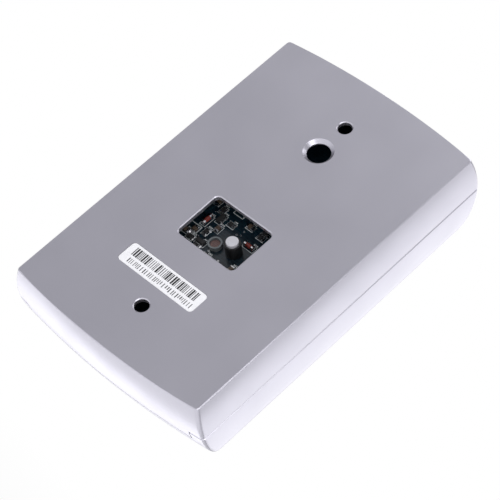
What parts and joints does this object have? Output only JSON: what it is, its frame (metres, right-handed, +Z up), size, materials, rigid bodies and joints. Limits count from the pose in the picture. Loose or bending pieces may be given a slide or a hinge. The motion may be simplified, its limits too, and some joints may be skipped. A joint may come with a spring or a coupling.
{
  "type": "fingerprint scanner terminal",
  "caption": "Wall-mounted fingerprint scanner terminal with a two-part metal housing, rear window and finger recess.",
  "frame": {"origin": "middle of the flat back, halfway between the two wall screw holes", "axes": "+Z up, +Y out of the back towards the wall, +X to the right as seen from the front"},
  "size_m": [0.0726, 0.034, 0.115],
  "materials": {
    "housing_metal": "satin metallic",
    "label": "gloss white",
    "seal_rubber": "matt",
    "steel": "plated",
    "black_plastic": "fine texture",
    "optical_glass": "polished",
    "smoked_lens": "polished",
    "circuit_board": "solder mask",
    "chip_plastic": "moulded",
    "led_plastic": "clear",
    "socket_plastic": "moulded",
    "ribbon_film": "film",
    "capacitor_can": "bright",
    "ferrite": "matt",
    "capacitor_ceramic": "fired",
    "diode_glass": "polished",
    "light_sleeve_plastic": "moulded",
    "cell_ceramic": "matt",
    "plunger_plastic": "polished",
    "relay_plastic": "moulded",
    "bobbin_plastic": "moulded",
    "copper": "enamelled copper"
  },
  "bodies": {
    "terminal": {"back_shell": "housing_metal", "front_cover": "housing_metal", "serial_label": "label", "cover_seal": "seal_rubber", "cover_screw": "steel", "sensor_screws": "steel", "indicator_screws": "steel", "board_screws": "steel", "link_pins": "steel", "header_pins": "steel", "relay_pins": "steel", "relay_core": "steel", "relay_yoke": "steel", "tamper_spring": "steel", "tamper_contact": "steel", "sensor_bezel": "black_plastic", "sensor_housing": "black_plastic", "lens_barrel": "black_plastic", "link_spacer": "black_plastic", "tamper_sleeve": "black_plastic", "buzzer": "black_plastic", "relay_base": "black_plastic", "ir_receiver": "black_plastic", "sensor_prism": "optical_glass", "sensor_lens": "optical_glass", "indicator_lens": "smoked_lens", "main_board": "circuit_board", "sensor_board": "circuit_board", "indicator_board": "circuit_board", "image_sensor": "chip_plastic", "sensor_processor": "chip_plastic", "regulator": "chip_plastic", "processor": "chip_plastic", "flash_memory": "chip_plastic", "smd_transistors": "chip_plastic", "smd_resistors": "chip_plastic", "sensor_leds": "led_plastic", "status_leds": "led_plastic", "sensor_socket": "socket_plastic", "ribbon_socket": "socket_plastic", "cable_header": "socket_plastic", "sensor_ribbon": "ribbon_film", "filter_capacitors": "capacitor_can", "crystal": "capacitor_can", "power_inductor": "ferrite", "smd_capacitors": "capacitor_ceramic", "smd_diodes": "diode_glass", "light_sleeve": "light_sleeve_plastic", "light_cell": "cell_ceramic", "relay_case": "relay_plastic", "relay_bobbin": "bobbin_plastic", "relay_coil": "copper", "relay_contacts": "copper"},
    "tamper_plunger": {"tamper_plunger": "plunger_plastic"},
    "relay_armature": {"relay_armature": "steel", "relay_moving_contact": "copper"}
  },
  "joints": [
    {"name": "tamper_press", "type": "slide", "parent": "terminal", "child": "tamper_plunger", "axis": [0, -1, 0], "range_m": [0, 0.0008], "stiffness_N_per_m": 250, "springref_m": -0.0008, "deforming": ["tamper_spring"]},
    {"name": "relay_pull", "type": "hinge", "parent": "terminal", "child": "relay_armature", "pos_m": [-0.0225, -0.02157, -0.0075], "axis": [-1, 0, 0], "range_deg": [0, 3], "stiffness_Nm_per_rad": 0.01, "springref_deg": -2.86}
  ]
}
